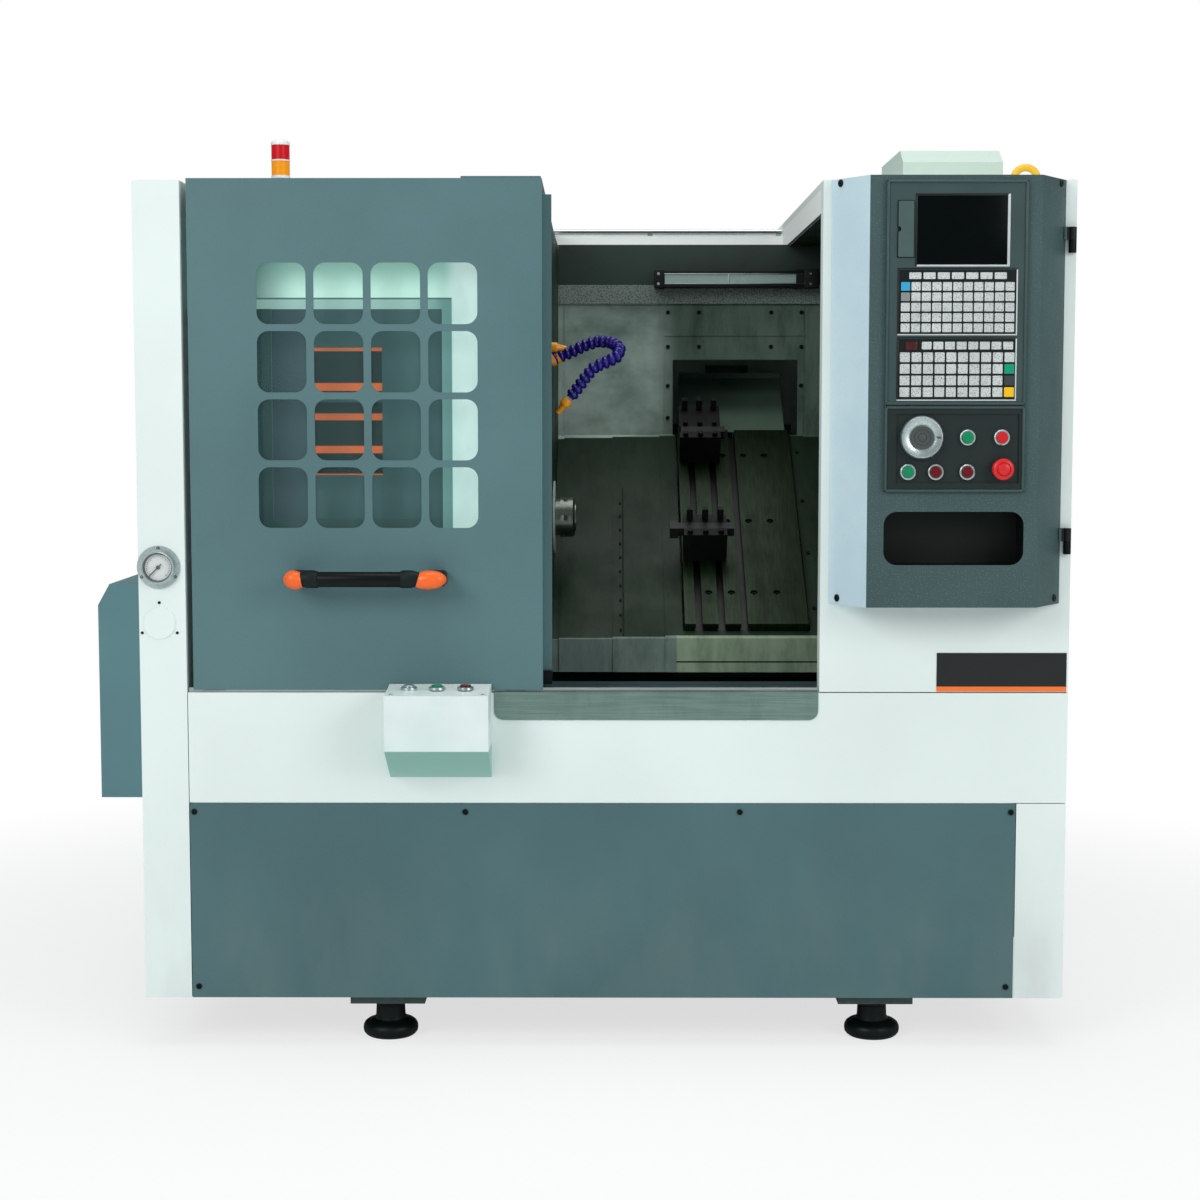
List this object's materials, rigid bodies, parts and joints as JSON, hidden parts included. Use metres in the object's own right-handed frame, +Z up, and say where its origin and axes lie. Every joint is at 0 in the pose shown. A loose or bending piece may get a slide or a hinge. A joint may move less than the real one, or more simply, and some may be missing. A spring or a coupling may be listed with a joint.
{
  "type": "cnc turning and milling machine",
  "caption": "Enclosed slant-bed turning and milling machine with a collet spindle, a T-slotted tool slide, a sliding window door and a swinging control pendant.",
  "frame": {"origin": "on the floor under the centre of the machine's bounding box", "axes": "+X to the operator's right, along the spindle; +Y away from the operator; +Z up"},
  "size_m": [1.9185, 1.38, 1.861],
  "materials": {
    "bed": "painted casting",
    "leveling_feet": "moulded rubber on steel studs",
    "left_enclosure": "satin white paint",
    "right_side_panel": "satin white paint",
    "rear_panel": "satin white paint",
    "cabinet_door": "satin white paint",
    "apron": "satin white paint",
    "lower_front_panel": "grey textured paint",
    "panel_screws": "black",
    "right_column": "satin white paint",
    "roof_panels": "satin white paint",
    "door_rails": "ground bar",
    "headstock_front_panel": "satin paint",
    "blank_plates": "bare black plates",
    "sill": "brushed stainless sheet",
    "button_box": "black enclosure",
    "box_button_green": "moulded cap",
    "box_button_red": "moulded cap",
    "gauge_case": "pressed case",
    "gauge_needle": "black needle",
    "motor_cover": "satin white paint",
    "eye_bolt": "yellow forged eye",
    "tower_light": "amber and red lenses on a post",
    "work_lamp": "anodised housing",
    "chamber_guards": "grey-green sheet",
    "chamber_rear_wall": "grey-green sheet",
    "chip_tray": "painted sheet",
    "headstock": "painted casting",
    "spindle": "ground steel",
    "motor_pulley": "turned steel",
    "spindle_motor": "black finned motor",
    "drive_belt": "toothed belt",
    "z_drive": "rails, bearing blocks and servo motor",
    "z_ball_screw": "ground screw",
    "saddle": "painted casting",
    "saddle_cover": "grey-green sheet",
    "middle_covers": "grey-green sheet",
    "x_drive": "rails, bearing blocks and servo motor",
    "x_ball_screw": "ground screw",
    "tool_plate": "ground plate",
    "tool_blocks": "blackened steel",
    "tools": "blackened steel",
    "door": "grey-green paint",
    "door_window": "clear pane",
    "door_handle": "black grip with orange ends",
    "door_shoes": "black glide blocks",
    "pendant_case": "grey-blue paint",
    "pendant_hinges": "black",
    "control_unit": "dark panel with a screen",
    "usb_cover": "moulded flap",
    "operator_plate": "dark plate",
    "button_start": "moulded cap",
    "button_hold": "moulded cap",
    "button_power_on": "moulded cap",
    "button_power_off": "moulded cap",
    "button_reset": "moulded cap",
    "emergency_stop": "moulded mushroom head",
    "handwheel": "turned disc with a dark hub",
    "coolant_tank": "painted sheet",
    "coolant_hose": "segmented hose, amber nozzle"
  },
  "bodies": {
    "machine": {"bed": "bed", "leveling_feet": "leveling_feet", "left_enclosure": "left_enclosure", "right_side_panel": "right_side_panel", "rear_panel": "rear_panel", "apron": "apron", "lower_front_panel": "lower_front_panel", "panel_screws": "panel_screws", "right_column": "right_column", "roof_panels": "roof_panels", "door_rails": "door_rails", "headstock_front_panel": "headstock_front_panel", "blank_plates": "blank_plates", "sill": "sill", "button_box": "button_box", "gauge_case": "gauge_case", "motor_cover": "motor_cover", "eye_bolt": "eye_bolt", "tower_light": "tower_light", "work_lamp": "work_lamp", "chamber_guards": "chamber_guards", "chamber_rear_wall": "chamber_rear_wall", "chip_tray": "chip_tray", "headstock": "headstock", "spindle_motor": "spindle_motor", "z_drive": "z_drive", "coolant_hose": "coolant_hose", "drive_belt": "drive_belt", "pendant_hinges": "pendant_hinges"},
    "sliding_door": {"door": "door", "door_window": "door_window", "door_handle": "door_handle", "door_shoes": "door_shoes"},
    "spindle_assembly": {"spindle": "spindle"},
    "motor_rotor": {"motor_pulley": "motor_pulley"},
    "z_carriage": {"saddle": "saddle", "saddle_cover": "saddle_cover", "x_drive": "x_drive"},
    "cover_middles": {"middle_covers": "middle_covers"},
    "z_screw": {"z_ball_screw": "z_ball_screw"},
    "tool_slide": {"tool_plate": "tool_plate", "tool_blocks": "tool_blocks", "tools": "tools"},
    "x_screw": {"x_ball_screw": "x_ball_screw"},
    "pendant": {"pendant_case": "pendant_case", "control_unit": "control_unit", "operator_plate": "operator_plate"},
    "port_flap": {"usb_cover": "usb_cover"},
    "wheel": {"handwheel": "handwheel"},
    "start_button": {"button_start": "button_start"},
    "hold_button": {"button_hold": "button_hold"},
    "power_on_button": {"button_power_on": "button_power_on"},
    "power_off_button": {"button_power_off": "button_power_off"},
    "reset_button": {"button_reset": "button_reset"},
    "stop_button": {"emergency_stop": "emergency_stop"},
    "door_unlock_button": {"box_button_green": "box_button_green"},
    "door_stop_button": {"box_button_red": "box_button_red"},
    "needle": {"gauge_needle": "gauge_needle"},
    "tank": {"coolant_tank": "coolant_tank"},
    "cabinet_leaf": {"cabinet_door": "cabinet_door"}
  },
  "joints": [
    {"name": "door_slide", "type": "slide", "parent": "machine", "child": "sliding_door", "axis": [1, 0, 0], "range_m": [0, 0.505]},
    {"name": "spindle_turn", "type": "hinge", "parent": "machine", "child": "spindle_assembly", "pos_m": [0, -0.155, 1.006], "axis": [1, 0, 0], "continuous": true},
    {"name": "motor_turn", "type": "hinge", "parent": "machine", "child": "motor_rotor", "pos_m": [-0.54, 0.04, 0.65], "axis": [1, 0, 0], "continuous": true},
    {"name": "z_slide", "type": "slide", "parent": "machine", "child": "z_carriage", "axis": [1, 0, 0], "range_m": [-0.17, 0.06]},
    {"name": "cover_slide", "type": "slide", "parent": "machine", "child": "cover_middles", "axis": [1, 0, 0], "range_m": [-0.085, 0.03]},
    {"name": "z_screw_turn", "type": "hinge", "parent": "machine", "child": "z_screw", "pos_m": [0, 0.06081, 0.83727], "axis": [1, 0, 0], "range_deg": [-6130, 2170]},
    {"name": "x_slide", "type": "slide", "parent": "z_carriage", "child": "tool_slide", "axis": [0, 0.8192, 0.5736], "range_m": [0, 0.19]},
    {"name": "x_screw_turn", "type": "hinge", "parent": "z_carriage", "child": "x_screw", "pos_m": [0.362, -0.05462, 0.86265], "axis": [0, 0.8192, 0.5736], "range_deg": [-10, 6850]},
    {"name": "pendant_swing", "type": "hinge", "parent": "machine", "child": "pendant", "pos_m": [0.949, -0.563, 1.262], "axis": [0, 0, 1], "range_deg": [0, 100]},
    {"name": "port_flap_swing", "type": "hinge", "parent": "pendant", "child": "port_flap", "pos_m": [0.6395, -0.658, 1.5565], "axis": [0, 0, 1], "range_deg": [0, 110]},
    {"name": "wheel_turn", "type": "hinge", "parent": "pendant", "child": "wheel", "pos_m": [0.658, -0.66, 1.177], "axis": [0, 1, 0], "continuous": true},
    {"name": "start_press", "type": "slide", "parent": "pendant", "child": "start_button", "axis": [0, 1, 0], "range_m": [0, 0.004], "stiffness_N_per_m": 900, "springref_m": -0.002},
    {"name": "hold_press", "type": "slide", "parent": "pendant", "child": "hold_button", "axis": [0, 1, 0], "range_m": [0, 0.004], "stiffness_N_per_m": 900, "springref_m": -0.002},
    {"name": "power_on_press", "type": "slide", "parent": "pendant", "child": "power_on_button", "axis": [0, 1, 0], "range_m": [0, 0.004], "stiffness_N_per_m": 900, "springref_m": -0.002},
    {"name": "power_off_press", "type": "slide", "parent": "pendant", "child": "power_off_button", "axis": [0, 1, 0], "range_m": [0, 0.004], "stiffness_N_per_m": 900, "springref_m": -0.002},
    {"name": "reset_press", "type": "slide", "parent": "pendant", "child": "reset_button", "axis": [0, 1, 0], "range_m": [0, 0.004], "stiffness_N_per_m": 900, "springref_m": -0.002},
    {"name": "stop_press", "type": "slide", "parent": "pendant", "child": "stop_button", "axis": [0, 1, 0], "range_m": [0, 0.004], "stiffness_N_per_m": 900, "springref_m": -0.002},
    {"name": "door_unlock_press", "type": "slide", "parent": "machine", "child": "door_unlock_button", "axis": [0, 0, -1], "range_m": [0, 0.004], "stiffness_N_per_m": 900, "springref_m": -0.002},
    {"name": "door_stop_press", "type": "slide", "parent": "machine", "child": "door_stop_button", "axis": [0, 0, -1], "range_m": [0, 0.004], "stiffness_N_per_m": 900, "springref_m": -0.002},
    {"name": "needle_turn", "type": "hinge", "parent": "machine", "child": "needle", "pos_m": [-0.772, -0.563, 0.93], "axis": [0, 1, 0], "range_deg": [0, 270], "stiffness_Nm_per_rad": 0.002, "springref_deg": -17.19},
    {"name": "tank_slide", "type": "slide", "parent": "machine", "child": "tank", "axis": [0, 1, 0], "range_m": [0, 0.35]},
    {"name": "cabinet_door_swing", "type": "hinge", "parent": "machine", "child": "cabinet_leaf", "pos_m": [0.944, 0.6955, 0.96], "axis": [0, 0, -1], "range_deg": [0, 105]}
  ],
  "couplings": [
    {"joint": "motor_turn", "follows": "spindle_turn", "ratio": 1.25},
    {"joint": "cover_slide", "follows": "z_slide", "ratio": 0.5},
    {"joint": "z_screw_turn", "follows": "z_slide", "rad_per_m": 628.32},
    {"joint": "x_screw_turn", "follows": "x_slide", "rad_per_m": 628.32}
  ]
}
